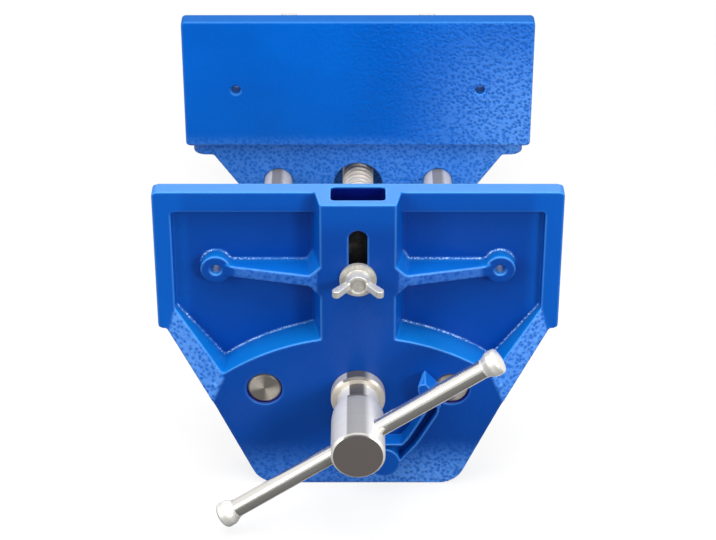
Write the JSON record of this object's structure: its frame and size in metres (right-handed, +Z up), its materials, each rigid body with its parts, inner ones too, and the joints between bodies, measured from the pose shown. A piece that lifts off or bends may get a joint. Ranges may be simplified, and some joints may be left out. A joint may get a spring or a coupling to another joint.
{
  "type": "woodworking vise",
  "caption": "Quick-release bench vise: wide cast jaws on guide rods, a screw with a sliding handle, a half nut released by a lever, and a rising dog",
  "frame": {"origin": "centre of the four bench bolts, on the top face of the rear casting's mounting flange", "axes": "+X to the user's right, +Y away from the user along the screw, +Z up through the bench top"},
  "size_m": [0.265, 0.6663, 0.2165],
  "materials": {
    "casting": "blue hammered enamel on cast iron",
    "bright_steel": "turned and polished steel",
    "dark_steel": "oiled dark steel",
    "nut_iron": "bare cast iron"
  },
  "bodies": {
    "vise_body": {"rear_casting": "casting", "nut_cover": "dark_steel", "cover_screws": "bright_steel", "nut_springs": "bright_steel"},
    "half_nut_body": {"half_nut": "nut_iron"},
    "cam_body": {"trip_cam": "nut_iron"},
    "front_jaw": {"front_casting": "casting", "guide_rod_left": "bright_steel", "guide_rod_right": "bright_steel", "rod_pins": "dark_steel", "end_plate": "dark_steel", "rod_washers": "bright_steel", "rod_nuts": "bright_steel"},
    "screw": {"main_screw": "bright_steel", "screw_head": "bright_steel", "thrust_collar": "bright_steel", "collar_pin": "dark_steel", "screw_spring": "bright_steel", "spring_washer": "bright_steel", "spring_pin": "dark_steel", "screw_end_washer": "bright_steel", "screw_end_pin": "dark_steel"},
    "handle": {"handle_bar": "bright_steel", "knob_left": "bright_steel", "knob_right": "bright_steel"},
    "lever": {"release_lever": "casting", "lever_pin": "dark_steel", "trip_rod": "bright_steel", "trip_rod_collar": "bright_steel", "trip_rod_clip": "dark_steel"},
    "dog_body": {"dog": "dark_steel", "dog_stud": "bright_steel"},
    "washer_body": {"clamp_washer": "bright_steel"},
    "wing_nut_body": {"wing_nut": "bright_steel"}
  },
  "joints": [
    {"name": "screw_turn", "type": "hinge", "parent": "front_jaw", "child": "screw", "pos_m": [0, -0.348, -0.0385], "axis": [0, 1, 0], "range_deg": [-7200.3, 14377.7]},
    {"name": "jaw_slide", "type": "slide", "parent": "vise_body", "child": "front_jaw", "axis": [0, 1, 0], "range_m": [-0.127, 0.2536]},
    {"name": "handle_slide", "type": "slide", "parent": "screw", "child": "handle", "axis": [0.8241, 0, 0.5664], "range_m": [-0.078, 0.078]},
    {"name": "lever_swing", "type": "hinge", "parent": "front_jaw", "child": "lever", "pos_m": [0.0173, -0.384, -0.0863], "axis": [0, -1, 0], "range_deg": [0, 20], "stiffness_Nm_per_rad": 1, "springref_deg": -17.19},
    {"name": "half_nut_drop", "type": "slide", "parent": "vise_body", "child": "half_nut_body", "axis": [0, 0, 1], "range_m": [-0.00576, 0], "deforming": ["nut_springs"]},
    {"name": "cam_turn", "type": "hinge", "parent": "vise_body", "child": "cam_body", "pos_m": [0.0173, 0, -0.0863], "axis": [0, -1, 0], "range_deg": [0, 20.01]},
    {"name": "dog_lift", "type": "slide", "parent": "front_jaw", "child": "dog_body", "axis": [0, 0, 1], "range_m": [0, 0.028]},
    {"name": "wing_nut_turn", "type": "hinge", "parent": "washer_body", "child": "wing_nut_body", "pos_m": [0, -0.38, 0.05], "axis": [0, -1, 0], "range_deg": [0, 360.1]},
    {"name": "washer_slide", "type": "slide", "parent": "dog_body", "child": "washer_body", "axis": [0, -1, 0], "range_m": [0, 0.00159]}
  ],
  "couplings": [
    {"joint": "screw_turn", "follows": "jaw_slide", "rad_per_m": 989.48},
    {"joint": "half_nut_drop", "follows": "lever_swing", "m_per_rad": -0.016363},
    {"joint": "cam_turn", "follows": "lever_swing", "ratio": 1},
    {"joint": "wing_nut_turn", "follows": "washer_slide", "rad_per_m": 3957.9}
  ]
}
